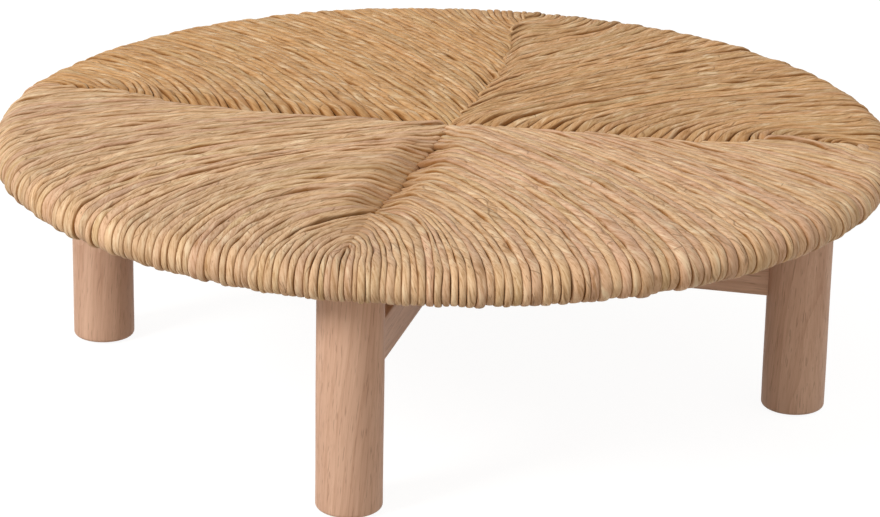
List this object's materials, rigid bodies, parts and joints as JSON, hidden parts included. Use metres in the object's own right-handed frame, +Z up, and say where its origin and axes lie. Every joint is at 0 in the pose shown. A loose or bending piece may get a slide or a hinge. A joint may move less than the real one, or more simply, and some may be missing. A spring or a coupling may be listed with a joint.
{
  "type": "woven rush coffee table",
  "caption": "Low round table with a thick woven rush top, rounded at the rim, on stout turned wooden legs tied by crossed rails.",
  "frame": {"origin": "on the floor, under the middle of the table", "axes": "+Z up; a leg stands on each of +X, +Y, -X and -Y, and the leg on -Y is the front one in the picture"},
  "size_m": [1, 1, 0.296],
  "materials": {
    "rush": "matte",
    "leg_wood": "satin",
    "frame_wood": "matte",
    "stuffing": "matte",
    "steel": "satin",
    "brass": "satin",
    "nylon": "matte"
  },
  "bodies": {
    "root": {"leg_right": "leg_wood", "leg_back": "leg_wood", "leg_left": "leg_wood", "leg_front": "leg_wood", "foot_glide_right": "nylon", "foot_glide_back": "nylon", "foot_glide_left": "nylon", "foot_glide_front": "nylon", "hanger_bolt_right": "steel", "hanger_bolt_back": "steel", "hanger_bolt_left": "steel", "hanger_bolt_front": "steel", "threaded_insert_right": "brass", "threaded_insert_back": "brass", "threaded_insert_left": "brass", "threaded_insert_front": "brass", "corner_block_right": "frame_wood", "corner_block_back": "frame_wood", "corner_block_left": "frame_wood", "corner_block_front": "frame_wood", "ring_dowel_right_1": "frame_wood", "ring_dowel_right_2": "frame_wood", "ring_dowel_back_1": "frame_wood", "ring_dowel_back_2": "frame_wood", "ring_dowel_left_1": "frame_wood", "ring_dowel_left_2": "frame_wood", "ring_dowel_front_1": "frame_wood", "ring_dowel_front_2": "frame_wood", "ring_rail_back_right": "frame_wood", "ring_rail_back_left": "frame_wood", "ring_rail_front_left": "frame_wood", "ring_rail_front_right": "frame_wood", "stuffing_back_right": "stuffing", "stuffing_back_left": "stuffing", "stuffing_front_left": "stuffing", "stuffing_front_right": "stuffing", "rush_back_right": "rush", "rush_back_left": "rush", "rush_front_left": "rush", "rush_front_right": "rush", "cross_rail_lower": "leg_wood", "cross_rail_upper": "leg_wood", "cross_screw": "steel"}
  },
  "joints": []
}
